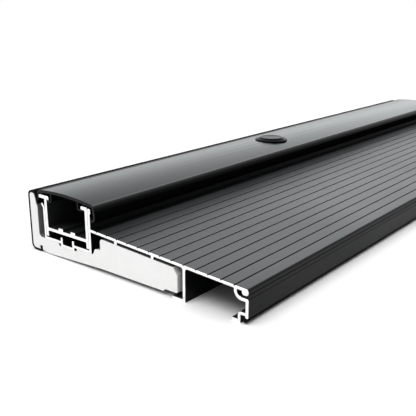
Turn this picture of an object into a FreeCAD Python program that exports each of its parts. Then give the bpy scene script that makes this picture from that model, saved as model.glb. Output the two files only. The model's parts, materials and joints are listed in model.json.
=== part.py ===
import FreeCAD, Part
import math
import os

# Adjustable door threshold, cut to length.
#
# The frame has +X along the doorway, +Y to the room side and +Z up, with its origin at the middle
# of the bottom. Every section is drawn in two coordinates: "across", measured outwards from the
# inner face, and "up", measured from the floor. Sizes are in millimetres.

# Overall sizes
LENGTH = 450.0
DEPTH = 142.6
TREAD_ROOT_HEIGHT = 20.8
TREAD_NOSE_HEIGHT = 15.6

# Substrate: the block that carries everything
UPRIGHT_THICK = 5.8
UPRIGHT_TOP = 31.7
UPRIGHT_TAPER_HEIGHT = 7.2
UPRIGHT_TAPER = 1.9
UPRIGHT_TOP_ROUND = 0.42
UPRIGHT_ROOT_FILLET = 2.2
TRAY_GAP = 4.9
POCKET_FLOOR = 8.3
SHELF_HEIGHT = 11.2
SHELF_RISE = 0.8
SHELF_WIDE = 4.0
SHELF_TOP_ROUND = 1.6
SHELF_RAMP = 1.4
POCKET_END_ROOM = 1.0
SUBSTRATE_END = 104.3
CHAMFER_WIDE = 2.5
CHAMFER_TALL = 3.5
UNDERSIDE_LIFT = 2.0
UNDERSIDE_TOE = 0.3
TOE_CHAMFER_WIDE = 3.5
TOE_CHAMFER_TALL = 0.9
REBATE_WIDE = 7.5
REBATE_TALL = 1.2
BLOCK_EDGE_ROUND = 0.8

# Inner cover: the skin round the inner side of the block
COVER_SKIN = 1.2
COVER_BEND = 3.7
COVER_TAIL_BELOW_TOP = 5.7
COVER_HOOK_ACROSS = 8.0
COVER_HOOK_RISE = 2.0
COVER_BARB = 0.25
HOOK_NOTCH_ROOM = 0.2

# Sill deck: tray and dam wall
TRAY_WALL = 1.3
TRAY_WALL_TALL = 17.0
TRAY_TIP_OUT = 1.6
TRAY_TIP_RISE = 2.0
TRAY_FLOOR = 1.3
TRAY_STEP = 1.6
GUIDE_GAP = 7.5
GUIDE_RIB = 1.4
GUIDE_RIB_TALL = 3.7
GUIDE_SIDE_ROOM = 1.8
DAM_WALL = 1.5
DAM_BELOW_RAIL_TOP = 0.6
DAM_HEAD_WIDE = 2.0
DAM_HEAD_TALL = 2.4

# Sill deck: tread and leg
TREAD_THICK = 1.3
GROOVE_PITCH = 6.9
GROOVE_FIRST = 4.4
GROOVE_WIDE = 0.8
GROOVE_DEEP = 0.45
GROOVE_NOSE_ROOM = 5.5
SEAT_RIB_TALL = 1.6
SEAT_RIB_WIDE = 1.6
SEAT_RIB_FIRST = 17.5
SEAT_RIB_PITCH = 23.7
SEAT_RIB_COUNT = 2
LEG_GAP = 3.1
LEG_WALL = 1.4
LEG_FILLET = 1.4
FOOT_THICK = 1.3
LEG_FOOT_WIDE = 6.2

# Sill deck: nosing
NOSE_SETBACK = 0.1
NOSE_BEAD_WIDE = 3.3
NOSE_BEAD_TALL = 2.9
NOSE_BEAD_ROUND = 1.3
NOSE_SLOT_WIDE = 2.6
NOSE_SLOT_TALL = 1.2
NOSE_BEND = 2.6
FASCIA_WALL = 1.45
FASCIA_BOTTOM = 2.7
FASCIA_CORNER = 0.8
HOOK_WALL = 1.3
HOOK_TOP = 5.0
HOOK_FOOT_WIDE = 3.2
KERF_WIDE = 2.5

# Riser rail: slides in the tray
SLIDE_CLEARANCE = 0.2
RAIL_WIDE = 33.0
RAIL_TALL = 21.6
RAIL_WALL = 1.8
RAIL_REST_LIFT = 0.7
RAIL_FOOT = 3.1
RAIL_WEB = 1.6
WEB_FILLET = 0.7
RIDGE_WIDE = 3.5
RIDGE_TALL = 1.3
RIDGE_GAP = 5.9
HEAD_THICK = 1.8
HEAD_INNER_ARM = 4.4
HEAD_SHORT_ARM = 1.7
HEAD_LIP_WIDE = 1.2
HEAD_LIP_DROP = 0.3
HEAD_OUTER_ARM = 2.9
HEAD_STEP = 0.3

# Cap cover: snapped over the rail
CAP_WALL = 1.6
CAP_CROWN_RISE = 3.3
CAP_CROWN_RADIUS = 160.0
CAP_CROWN_INWARDS = 2.9
CAP_ARM_GAP = 0.3
CAP_LIP_WALL = 0.9
CAP_LIP_DROP = 3.7
CAP_SHOULDER_ROUND = 2.0
CAP_OVERHANG = 3.1
CAP_BULGE = 0.9
CAP_BULGE_DROP = 2.9
CAP_BULGE_ROUND = 6.0
CAP_CURL_DROP = 6.0
CAP_CURL_ROUND = 2.4
CAP_TAIL_IN = 1.3
CAP_TAIL_DROP = 7.7
CAP_SEAT_RIB = 1.0
CAP_SEAT_IN = 2.0
CLIP_WALL = 1.0
CLIP_GAP = 1.6
CLIP_GRIP = 1.2

# Adjuster: plug, screw and insert on one upright axis
ADJUSTER_FROM_END = 184.0
PLUG_BASE_RADIUS = 11.15
PLUG_TOP_RADIUS = 7.6
PLUG_RIM = 0.7
PLUG_TALL = 3.0
PLUG_HOLE_RADIUS = 8.5
PLUG_STEM_LENGTH = 4.2
PLUG_STEM_CLEARANCE = 0.1
PLUG_WALL = 1.4
PLUG_SNAP = 0.5
PLUG_SLIT_WIDE = 1.6
SCREW_RADIUS = 3.0
SCREW_LENGTH = 15.6
SCREW_CHAMFER = 0.5
SCREW_FOOT_THICK = 1.2
SCREW_FOOT_CLEARANCE = 0.15
SCREW_CLEARANCE = 0.05
HEX_ACROSS_FLATS = 3.0
HEX_DEEP = 4.0
INSERT_WALL = 1.4
INSERT_CLEARANCE = 0.05
INSERT_FLANGE = 1.6
INSERT_FLANGE_THICK = 0.8
INSERT_RIM_RISE = 0.5

# Bottom seal: strip held in the slot under the fascia
SEAL_CLEARANCE = 0.1
SEAL_STEM_ROUND = 0.5
SEAL_BULB_RADIUS = 1.0
SEAL_BULB_LAP = 1.0
SEAL_LIFT = 0.8

# Nosing strip: closes the mouth of the nosing slot and pulls out to free it
STRIP_CLEARANCE = 0.1
STRIP_HEAD = 1.0
STRIP_LIP_UP = 0.4
STRIP_LIP_DOWN = 0.1
STRIP_BULB_RADIUS = 0.65
STRIP_BULB_IN = 0.3

# Joins inside one piece run into each other by this much
OVERLAP = 0.4

# Places across, worked out from the sizes above
UPRIGHT_FACE = COVER_SKIN + UPRIGHT_THICK
TRAY_FACE = UPRIGHT_FACE + TRAY_GAP
RAIL_START = TRAY_FACE + TRAY_WALL + SLIDE_CLEARANCE
RAIL_END = RAIL_START + RAIL_WIDE
MIDDLE = (RAIL_START + RAIL_END) / 2
DAM_BACK = RAIL_END + SLIDE_CLEARANCE
DAM_FACE = DAM_BACK + DAM_WALL
SHELF_START = DAM_FACE + POCKET_END_ROOM + SHELF_RAMP
SHELF_END = SHELF_START + SHELF_WIDE
LEG_FACE = SUBSTRATE_END + LEG_GAP
FASCIA_BACK = DEPTH - FASCIA_WALL
KERF_BACK = FASCIA_BACK - KERF_WIDE
NOSE_FRONT = DEPTH - NOSE_SETBACK
NOSE_BEAD_BACK = NOSE_FRONT - NOSE_BEAD_WIDE
NOSE_SLOT_BACK = NOSE_BEAD_BACK - NOSE_SLOT_WIDE
INNER_ARM_END = RAIL_START - HEAD_INNER_ARM
SHORT_ARM_END = RAIL_START + RAIL_WALL + HEAD_SHORT_ARM
OUTER_ARM_END = RAIL_END - RAIL_WALL - HEAD_OUTER_ARM
CAP_INNER_EDGE = INNER_ARM_END - CAP_ARM_GAP - CAP_LIP_WALL
CAP_OUTER_EDGE = DAM_FACE + CAP_OVERHANG
CAP_CROWN_ACROSS = MIDDLE - CAP_CROWN_INWARDS

# Heights, worked out from the sizes above
TRAY_TOP = POCKET_FLOOR + TRAY_FLOOR
STRIP_BOTTOM = POCKET_FLOOR - TRAY_STEP
STRIP_TOP = STRIP_BOTTOM + TRAY_FLOOR
RAIL_BOTTOM = TRAY_TOP + RAIL_REST_LIFT
RAIL_TOP = RAIL_BOTTOM + RAIL_TALL
WEB_BOTTOM = RAIL_BOTTOM + RAIL_FOOT
WEB_TOP = WEB_BOTTOM + RAIL_WEB
RIDGE_TOP = WEB_TOP + RIDGE_TALL
INNER_HEAD_BOTTOM = RAIL_TOP - HEAD_THICK - HEAD_LIP_DROP
OUTER_HEAD_TOP = RAIL_TOP - HEAD_STEP
OUTER_HEAD_BOTTOM = OUTER_HEAD_TOP - HEAD_THICK
DAM_TOP = RAIL_TOP - DAM_BELOW_RAIL_TOP
CAP_CROWN_HEIGHT = RAIL_TOP + CAP_CROWN_RISE
TREAD_FALL = (TREAD_ROOT_HEIGHT - TREAD_NOSE_HEIGHT) / (DEPTH - DAM_FACE)
KERF_ROOF = HOOK_TOP - HOOK_WALL
NOSE_TOP = TREAD_NOSE_HEIGHT + TREAD_FALL * NOSE_SETBACK
NOSE_BEAD_BOTTOM = NOSE_TOP - NOSE_BEAD_TALL
NOSE_SLOT_FLOOR = NOSE_BEAD_BOTTOM - NOSE_SLOT_TALL
INSERT_RADIUS = SCREW_RADIUS + INSERT_WALL


def tread_top(across):
    """Height of the tread's top, which falls outwards so that water runs off."""
    return TREAD_ROOT_HEIGHT - TREAD_FALL * (across - DAM_FACE)


def tread_underside(across):
    """Height of the tread's underside."""
    return tread_top(across) - TREAD_THICK


def substrate_top(across):
    """Height of the block under the tread, on which the seat ribs stand."""
    return tread_underside(across) - SEAT_RIB_TALL


def upright_outside(up):
    """Outer face of the block's upright, which leans in above the start of its taper."""
    above = max(0.0, up - UPRIGHT_TOP + UPRIGHT_TAPER_HEIGHT)
    return UPRIGHT_FACE - UPRIGHT_TAPER * above / UPRIGHT_TAPER_HEIGHT


def cap_top(across, wall=0.0):
    """Height of the cap's arched top, or of the arch one wall below it."""
    radius = CAP_CROWN_RADIUS - wall
    sideways = across - CAP_CROWN_ACROSS
    return CAP_CROWN_HEIGHT - CAP_CROWN_RADIUS + math.sqrt(radius**2 - sideways**2)


def cap_slope(across):
    """Slope of the cap's arched top."""
    sideways = across - CAP_CROWN_ACROSS
    return -sideways / math.sqrt(CAP_CROWN_RADIUS**2 - sideways**2)


def point(across, up):
    """Turn a place in the section into a point on the near cut end."""
    return FreeCAD.Vector(-LENGTH / 2, DEPTH / 2 - across, up)


def rounded_corner(before, corner, after, radius):
    """Start, middle and end of the arc that rounds a corner."""
    to_before = (before - corner).normalize()
    to_after = (after - corner).normalize()
    half_angle = to_before.getAngle(to_after) / 2
    reach = radius / math.tan(half_angle)
    inwards = (to_before + to_after).normalize()
    middle = corner + inwards * (radius / math.sin(half_angle) - radius)
    return corner + to_before * reach, middle, corner + to_after * reach


def outline(corners):
    """Face inside a closed outline; a corner is (across, up) or (across, up, radius)."""
    spots = [point(corner[0], corner[1]) for corner in corners]
    runs = []
    for index, corner in enumerate(corners):
        spot = spots[index]
        following = spots[(index + 1) % len(spots)]
        if len(corner) == 2:
            runs.append((spot, None, spot))
        else:
            runs.append(rounded_corner(spots[index - 1], spot, following, corner[2]))
    edges = []
    for index, (start, middle, end) in enumerate(runs):
        next_start = runs[(index + 1) % len(runs)][0]
        if middle is not None:
            edges.append(Part.Arc(start, middle, end).toShape())
        if (next_start - end).Length > 1e-6:
            edges.append(Part.LineSegment(end, next_start).toShape())
    return Part.Face(Part.Wire(edges))


def offset_path(path, offset):
    """Corners of a path moved sideways; a positive offset goes to the left of its direction."""
    flat = [FreeCAD.Vector(spot[0], spot[1], 0) for spot in path]
    ways = [(flat[index + 1] - flat[index]).normalize() for index in range(len(flat) - 1)]
    lefts = [FreeCAD.Vector(-way.y, way.x, 0) for way in ways]
    moved = []
    for index, spot in enumerate(path):
        arriving = lefts[max(index - 1, 0)]
        leaving = lefts[min(index, len(lefts) - 1)]
        shift = (arriving + leaving) / (1 + arriving.dot(leaving))
        place = flat[index] + shift * offset
        corner = (place.x, place.y)
        if len(spot) == 3:
            turns_left = arriving.cross(leaving).z > 0
            radius = spot[2] - offset if turns_left else spot[2] + offset
            corner += (max(radius, 0.05),)
        moved.append(corner)
    return moved


def wall(path, left, right):
    """Face of a wall that follows a path, with its thickness to the left and right of it."""
    return outline(offset_path(path, left) + offset_path(path, -right)[::-1])


def block(across_from, across_to, up_from, up_to):
    """Plain rectangular area of the section."""
    corners = [(across_from, up_from), (across_to, up_from)]
    return outline(corners + [(across_to, up_to), (across_from, up_to)])


def rib(across_from, across_to, up_from, up_to, radius):
    """Rectangular area whose two upper corners are rounded."""
    corners = [(across_from, up_from), (across_to, up_from)]
    return outline(corners + [(across_to, up_to, radius), (across_from, up_to, radius)])


def disc(across, up, radius):
    """Round area of the section."""
    circle = Part.Circle(point(across, up), FreeCAD.Vector(1, 0, 0), radius)
    return Part.Face(Part.Wire(circle.toShape()))


def fillet(corner, way_one, way_two, radius):
    """Area that fills the inside corner between two walls; the ways point away from it."""
    spot = point(*corner)
    one = point(corner[0] + way_one[0], corner[1] + way_one[1])
    two = point(corner[0] + way_two[0], corner[1] + way_two[1])
    start, middle, end = rounded_corner(one, spot, two, radius)
    sides = [Part.LineSegment(spot, start), Part.Arc(start, middle, end), Part.LineSegment(end, spot)]
    return Part.Face(Part.Wire([side.toShape() for side in sides]))


def extrude(areas, grooves=()):
    """Join the areas of one section, take its grooves out and run it along the full length."""
    along = FreeCAD.Vector(LENGTH, 0, 0)
    solids = [area.extrude(along) for area in areas]
    piece = solids[0]
    if len(solids) > 1:
        piece = piece.fuse(solids[1:])
    if grooves:
        piece = piece.cut([groove.extrude(along) for groove in grooves])
    return piece.removeSplitter()


def on_axis(radius, up):
    """Point beside the upright axis that the screw, the insert and the plug share."""
    return FreeCAD.Vector(ADJUSTER_FROM_END - LENGTH / 2 + radius, DEPTH / 2 - MIDDLE, up)


def turned(profile):
    """Solid turned about the adjuster's axis from (radius, up) corners."""
    face = Part.Face(Part.makePolygon([on_axis(*spot) for spot in profile + profile[:1]]))
    return face.revolve(on_axis(0, 0), FreeCAD.Vector(0, 0, 1), 360)


def upright_cylinder(radius, up_from, up_to):
    """Cylinder on the adjuster's axis."""
    return Part.makeCylinder(radius, up_to - up_from, on_axis(0, up_from), FreeCAD.Vector(0, 0, 1))


def make_substrate():
    """Block with its upright, the pocket for the tray and the top that follows the tread."""
    top_radius = UPRIGHT_TOP_ROUND * (upright_outside(UPRIGHT_TOP) - COVER_SKIN)
    channel_half = GUIDE_GAP / 2 + GUIDE_RIB + GUIDE_SIDE_ROOM
    chamfer_start = SUBSTRATE_END - CHAMFER_WIDE
    rebate_top = UNDERSIDE_LIFT + REBATE_TALL
    rebate_start = SUBSTRATE_END - REBATE_WIDE
    barb = COVER_SKIN / 2 + COVER_BARB
    notch_back = COVER_HOOK_ACROSS - barb - HOOK_NOTCH_ROOM
    notch_front = COVER_HOOK_ACROSS + barb + HOOK_NOTCH_ROOM
    notch_top = COVER_SKIN + COVER_HOOK_RISE + HOOK_NOTCH_ROOM
    corners = [
        (COVER_SKIN, COVER_SKIN, COVER_BEND - COVER_SKIN),
        (COVER_SKIN, UPRIGHT_TOP, top_radius),
        (upright_outside(UPRIGHT_TOP), UPRIGHT_TOP, top_radius),
        (UPRIGHT_FACE, UPRIGHT_TOP - UPRIGHT_TAPER_HEIGHT),
        (UPRIGHT_FACE, POCKET_FLOOR, UPRIGHT_ROOT_FILLET),
        (MIDDLE - channel_half, POCKET_FLOOR),
        (MIDDLE - channel_half, STRIP_BOTTOM, BLOCK_EDGE_ROUND),
        (MIDDLE + channel_half, STRIP_BOTTOM, BLOCK_EDGE_ROUND),
        (MIDDLE + channel_half, POCKET_FLOOR),
        (DAM_FACE + POCKET_END_ROOM, POCKET_FLOOR, BLOCK_EDGE_ROUND),
        (SHELF_START, SHELF_HEIGHT, BLOCK_EDGE_ROUND),
        (SHELF_END, SHELF_HEIGHT + SHELF_RISE),
        (SHELF_END, substrate_top(SHELF_END), SHELF_TOP_ROUND),
        (chamfer_start, substrate_top(chamfer_start), BLOCK_EDGE_ROUND),
        (SUBSTRATE_END, substrate_top(chamfer_start) - CHAMFER_TALL, BLOCK_EDGE_ROUND),
        (SUBSTRATE_END, rebate_top, BLOCK_EDGE_ROUND),
        (rebate_start, rebate_top),
        (rebate_start - REBATE_TALL, UNDERSIDE_LIFT),
        (SHELF_END, UNDERSIDE_LIFT),
        (notch_front + TOE_CHAMFER_WIDE, UNDERSIDE_TOE),
        (notch_front, UNDERSIDE_TOE + TOE_CHAMFER_TALL),
        (notch_front, notch_top),
        (notch_back, notch_top),
        (notch_back, COVER_SKIN),
    ]
    return extrude([outline(corners)])


def make_inner_cover():
    """Skin that wraps the upright from its outer face to a hook in the block's underside."""
    tail = UPRIGHT_TOP - COVER_TAIL_BELOW_TOP
    top_radius = UPRIGHT_TOP_ROUND * (upright_outside(UPRIGHT_TOP) - COVER_SKIN)
    hook_back = COVER_HOOK_ACROSS - COVER_SKIN / 2
    barb = COVER_SKIN / 2 + COVER_BARB
    hook_top = COVER_SKIN + COVER_HOOK_RISE
    path = [
        (upright_outside(tail), tail),
        (upright_outside(UPRIGHT_TOP), UPRIGHT_TOP, top_radius),
        (COVER_SKIN, UPRIGHT_TOP, top_radius),
        (COVER_SKIN, COVER_SKIN, COVER_BEND - COVER_SKIN),
        (hook_back, COVER_SKIN, 0.1),
        (hook_back, hook_top - barb),
    ]
    skin = wall(path, 0, COVER_SKIN)
    return extrude([skin, disc(COVER_HOOK_ACROSS, hook_top - barb, barb)])


def tray_areas():
    """Tray for the riser: flared inner wall, stepped floor and the two ribs round the screw."""
    wall_middle = TRAY_FACE + TRAY_WALL / 2
    wall_top = POCKET_FLOOR + TRAY_WALL_TALL
    rib_out = GUIDE_GAP / 2 + GUIDE_RIB
    rib_in = GUIDE_GAP / 2
    rib_top = STRIP_TOP + GUIDE_RIB_TALL
    inner_wall = [
        (wall_middle, POCKET_FLOOR),
        (wall_middle, wall_top, TRAY_WALL),
        (wall_middle - TRAY_TIP_OUT, wall_top + TRAY_TIP_RISE),
    ]
    rib_round = 0.4 * GUIDE_RIB
    return [
        wall(inner_wall, TRAY_WALL / 2, TRAY_WALL / 2),
        block(TRAY_FACE, MIDDLE - rib_in, POCKET_FLOOR, TRAY_TOP),
        block(MIDDLE - rib_out, MIDDLE + rib_out, STRIP_BOTTOM, STRIP_TOP),
        block(MIDDLE + rib_in, DAM_FACE, POCKET_FLOOR, TRAY_TOP),
        rib(MIDDLE - rib_out, MIDDLE - rib_in, STRIP_BOTTOM, rib_top, rib_round),
        rib(MIDDLE + rib_in, MIDDLE + rib_out, STRIP_BOTTOM, rib_top, rib_round),
    ]


def dam_area():
    """Dam wall with its rounded head."""
    head_front = DAM_BACK + DAM_HEAD_WIDE
    head_radius = 0.45 * DAM_HEAD_WIDE
    neck = DAM_TOP - DAM_HEAD_TALL
    corners = [
        (DAM_BACK, POCKET_FLOOR),
        (DAM_BACK, DAM_TOP, head_radius),
        (head_front, DAM_TOP, head_radius),
        (head_front, neck),
        (DAM_FACE, neck - (DAM_HEAD_WIDE - DAM_WALL)),
        (DAM_FACE, POCKET_FLOOR),
    ]
    return outline(corners)


def tread_area():
    """Sloping tread that ends in the round bead of the nosing."""
    back = DAM_FACE - OVERLAP
    corners = [
        (back, tread_top(back)),
        (NOSE_FRONT, NOSE_TOP, NOSE_BEAD_ROUND),
        (NOSE_FRONT, NOSE_BEAD_BOTTOM, NOSE_BEAD_ROUND),
        (NOSE_BEAD_BACK, NOSE_BEAD_BOTTOM, NOSE_BEAD_ROUND),
        (NOSE_BEAD_BACK, tread_underside(NOSE_BEAD_BACK)),
        (back, tread_underside(back)),
    ]
    return outline(corners)


def tread_grooves():
    """Shallow grooves along the tread, as many as fit between the dam wall and the nosing."""
    room = NOSE_FRONT - GROOVE_NOSE_ROOM - DAM_FACE - GROOVE_FIRST
    grooves = []
    for number in range(int(room / GROOVE_PITCH) + 1):
        across = DAM_FACE + GROOVE_FIRST + number * GROOVE_PITCH
        back = across - GROOVE_WIDE / 2
        front = across + GROOVE_WIDE / 2
        floor = tread_top(across) - GROOVE_DEEP
        above = tread_top(across) + GROOVE_DEEP
        side = GROOVE_WIDE / 4
        grooves.append(
            outline(
                [
                    (back - side, above),
                    (across - side, floor),
                    (across + side, floor),
                    (front + side, above),
                ]
            )
        )
    return grooves


def seat_ribs():
    """Low ribs under the tread that stand on the block."""
    ribs = []
    for number in range(SEAT_RIB_COUNT):
        back = DAM_FACE + SEAT_RIB_FIRST + number * SEAT_RIB_PITCH - SEAT_RIB_WIDE / 2
        front = back + SEAT_RIB_WIDE
        corners = [
            (back, substrate_top(back)),
            (front, substrate_top(front)),
            (front, tread_underside(front) + OVERLAP),
            (back, tread_underside(back) + OVERLAP),
        ]
        ribs.append(outline(corners))
    return ribs


def leg_areas():
    """Leg in front of the block, with its foot turned in under it."""
    front = LEG_FACE + LEG_WALL
    down = (0, -1)
    return [
        block(LEG_FACE, front, 0, tread_underside(front) + OVERLAP),
        block(LEG_FACE - LEG_FOOT_WIDE, front, 0, FOOT_THICK),
        fillet((LEG_FACE, tread_underside(LEG_FACE)), (-1, TREAD_FALL), down, LEG_FILLET),
        fillet((front, tread_underside(front)), (1, -TREAD_FALL), down, LEG_FILLET),
    ]


def nosing_areas():
    """Curved wall of the nosing slot, the fascia and the hook that stands on the floor."""
    end_radius = 0.45 * FASCIA_WALL
    slot_wall = [
        (NOSE_SLOT_BACK, tread_underside(NOSE_SLOT_BACK) + OVERLAP),
        (NOSE_SLOT_BACK, NOSE_SLOT_FLOOR, NOSE_BEND),
        (FASCIA_BACK + OVERLAP, NOSE_SLOT_FLOOR),
    ]
    fascia = [
        (FASCIA_BACK, FASCIA_BOTTOM, end_radius),
        (DEPTH, FASCIA_BOTTOM, end_radius),
        (DEPTH, NOSE_SLOT_FLOOR, FASCIA_CORNER),
        (FASCIA_BACK, NOSE_SLOT_FLOOR),
    ]
    hook = [
        (FASCIA_BACK + OVERLAP, KERF_ROOF),
        (KERF_BACK, KERF_ROOF, 0.2),
        (KERF_BACK, 0),
    ]
    return [
        wall(slot_wall, 0, FASCIA_WALL),
        outline(fascia),
        wall(hook, 0, HOOK_WALL),
        block(KERF_BACK - HOOK_WALL - HOOK_FOOT_WIDE, KERF_BACK, 0, FOOT_THICK),
    ]


def make_sill_deck():
    """One extrusion: tray, dam wall, tread, leg and nosing."""
    areas = tray_areas() + [dam_area(), tread_area()]
    areas += seat_ribs() + leg_areas() + nosing_areas()
    return extrude(areas, tread_grooves())


def inner_head():
    """T head over the tray's inner wall, whose short arm is turned down for the clip."""
    radius = 0.45 * HEAD_THICK
    lip_radius = 0.4 * HEAD_LIP_WIDE
    underside = RAIL_TOP - HEAD_THICK
    lip_back = SHORT_ARM_END - HEAD_LIP_WIDE
    corners = [
        (INNER_ARM_END, underside, radius),
        (INNER_ARM_END, RAIL_TOP, radius),
        (SHORT_ARM_END, RAIL_TOP, radius),
        (SHORT_ARM_END, INNER_HEAD_BOTTOM, lip_radius),
        (lip_back, INNER_HEAD_BOTTOM, lip_radius),
        (lip_back, underside),
    ]
    return outline(corners)


def outer_head():
    """Head on the rail's outer wall, with one arm over the channel."""
    radius = 0.45 * HEAD_THICK
    corners = [
        (OUTER_ARM_END, OUTER_HEAD_BOTTOM, radius),
        (OUTER_ARM_END, OUTER_HEAD_TOP, radius),
        (RAIL_END, OUTER_HEAD_TOP, radius),
        (RAIL_END, OUTER_HEAD_BOTTOM),
    ]
    return outline(corners)


def make_riser_rail():
    """H section that slides in the tray, with ridges on its web for the insert."""
    inner_face = RAIL_START + RAIL_WALL
    outer_face = RAIL_END - RAIL_WALL
    ridge_in = RIDGE_GAP / 2
    ridge_out = ridge_in + RIDGE_WIDE
    ridge_round = 0.4 * RIDGE_TALL
    up = (0, 1)
    down = (0, -1)
    inwards = (-1, 0)
    outwards = (1, 0)
    areas = [
        block(RAIL_START, inner_face, RAIL_BOTTOM, RAIL_TOP - HEAD_THICK + OVERLAP),
        block(outer_face, RAIL_END, RAIL_BOTTOM, OUTER_HEAD_BOTTOM + OVERLAP),
        block(inner_face - OVERLAP, outer_face + OVERLAP, WEB_BOTTOM, WEB_TOP),
        rib(MIDDLE - ridge_out, MIDDLE - ridge_in, WEB_BOTTOM, RIDGE_TOP, ridge_round),
        rib(MIDDLE + ridge_in, MIDDLE + ridge_out, WEB_BOTTOM, RIDGE_TOP, ridge_round),
        fillet((inner_face, WEB_TOP), outwards, up, WEB_FILLET),
        fillet((outer_face, WEB_TOP), inwards, up, WEB_FILLET),
        fillet((inner_face, WEB_BOTTOM), outwards, down, WEB_FILLET),
        fillet((outer_face, WEB_BOTTOM), inwards, down, WEB_FILLET),
        inner_head(),
        outer_head(),
    ]
    hole = upright_cylinder(INSERT_RADIUS + INSERT_CLEARANCE, RAIL_BOTTOM, RAIL_TOP)
    return extrude(areas).cut(hole)


def cap_shell():
    """Arched top with its front lip; the arch is tangent to straight shoulders at both edges."""
    inner_touch = CAP_INNER_EDGE + CAP_SHOULDER_ROUND
    outer_touch = CAP_OUTER_EDGE - CAP_SHOULDER_ROUND
    inner_slope = cap_slope(inner_touch)
    outer_slope = cap_slope(outer_touch)
    inner_up = cap_top(inner_touch) - inner_slope * CAP_SHOULDER_ROUND
    outer_up = cap_top(outer_touch) + outer_slope * CAP_SHOULDER_ROUND
    width = CAP_OUTER_EDGE - CAP_INNER_EDGE
    apex = (outer_up - inner_up - outer_slope * width) / (inner_slope - outer_slope)
    bulge = CAP_OUTER_EDGE + CAP_BULGE
    path = [
        (CAP_INNER_EDGE, RAIL_TOP),
        (CAP_INNER_EDGE, inner_up, CAP_SHOULDER_ROUND),
        (CAP_INNER_EDGE + apex, inner_up + inner_slope * apex, CAP_CROWN_RADIUS),
        (CAP_OUTER_EDGE, outer_up, CAP_SHOULDER_ROUND),
        (bulge, RAIL_TOP - CAP_BULGE_DROP, CAP_BULGE_ROUND),
        (bulge, RAIL_TOP - CAP_CURL_DROP, CAP_CURL_ROUND),
        (CAP_OUTER_EDGE - CAP_TAIL_IN, RAIL_TOP - CAP_TAIL_DROP),
    ]
    return wall(path, 0, CAP_WALL)


def cap_seat(across, up):
    """Rib under the arch that rests on one of the rail's heads."""
    return block(across, across + CAP_SEAT_RIB, up, cap_top(across) - CAP_WALL / 2)


def make_cap_cover():
    """Arched cap with a thin inner lip and two clip legs that hook under the rail's heads."""
    clip_front = SHORT_ARM_END + CLIP_GAP + CLIP_WALL
    clip_back = OUTER_ARM_END - CLIP_GAP - CLIP_WALL
    inner_hook = INNER_HEAD_BOTTOM - CLIP_WALL
    outer_hook = OUTER_HEAD_BOTTOM - CLIP_WALL
    bend = CLIP_WALL * 1.2
    inner_clip = [
        (clip_front, cap_top(clip_front) - CAP_WALL / 2),
        (clip_front, inner_hook, bend),
        (SHORT_ARM_END - CLIP_GRIP, inner_hook),
    ]
    outer_clip = [
        (clip_back, cap_top(clip_back) - CAP_WALL / 2),
        (clip_back, outer_hook, bend),
        (OUTER_ARM_END + CLIP_GRIP, outer_hook),
    ]
    lip_front = CAP_INNER_EDGE + CAP_LIP_WALL
    areas = [
        cap_shell(),
        block(CAP_INNER_EDGE, lip_front, RAIL_TOP - CAP_LIP_DROP, RAIL_TOP + OVERLAP),
        cap_seat(INNER_ARM_END + CAP_SEAT_IN, RAIL_TOP),
        cap_seat(RAIL_END - CAP_SEAT_IN - CAP_SEAT_RIB, OUTER_HEAD_TOP),
        wall(inner_clip, 0, CLIP_WALL),
        wall(outer_clip, CLIP_WALL, 0),
    ]
    hole = upright_cylinder(PLUG_HOLE_RADIUS, RAIL_TOP, CAP_CROWN_HEIGHT + PLUG_TALL)
    return extrude(areas).cut(hole)


def make_adjuster_plug():
    """Low conical button that follows the cap's arch, with a slit snap stem through the cap."""
    seat = cap_top(MIDDLE)
    top = seat + PLUG_TALL
    stem_radius = PLUG_HOLE_RADIUS - PLUG_STEM_CLEARANCE
    stem_bottom = seat - PLUG_STEM_LENGTH
    snap_top = cap_top(MIDDLE + PLUG_HOLE_RADIUS, CAP_WALL) - PLUG_STEM_CLEARANCE
    button = turned(
        [
            (0, seat - CAP_WALL),
            (PLUG_BASE_RADIUS, seat - CAP_WALL),
            (PLUG_BASE_RADIUS, seat + PLUG_RIM),
            (PLUG_TOP_RADIUS, top),
            (0, top),
        ]
    )
    arch = disc(CAP_CROWN_ACROSS, CAP_CROWN_HEIGHT - CAP_CROWN_RADIUS, CAP_CROWN_RADIUS)
    button = button.cut(extrude([arch]))
    stem = turned(
        [
            (0, stem_bottom),
            (stem_radius - PLUG_SNAP, stem_bottom),
            (stem_radius + PLUG_SNAP, snap_top - PLUG_SNAP),
            (stem_radius + PLUG_SNAP, snap_top - PLUG_SNAP / 2),
            (stem_radius, snap_top),
            (stem_radius, seat + PLUG_RIM / 2),
            (0, seat + PLUG_RIM / 2),
        ]
    )
    bore = upright_cylinder(stem_radius - PLUG_WALL, stem_bottom, seat - PLUG_WALL / 2)
    plug = button.fuse(stem).cut(bore)
    reach = 2 * PLUG_HOLE_RADIUS
    slit_tall = snap_top - stem_bottom
    for wide, deep in ((PLUG_SLIT_WIDE, reach), (reach, PLUG_SLIT_WIDE)):
        slit = Part.makeBox(wide, deep, slit_tall, on_axis(0, stem_bottom))
        slit.translate(FreeCAD.Vector(-wide / 2, -deep / 2, 0))
        plug = plug.cut(slit)
    return plug.removeSplitter()


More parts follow.
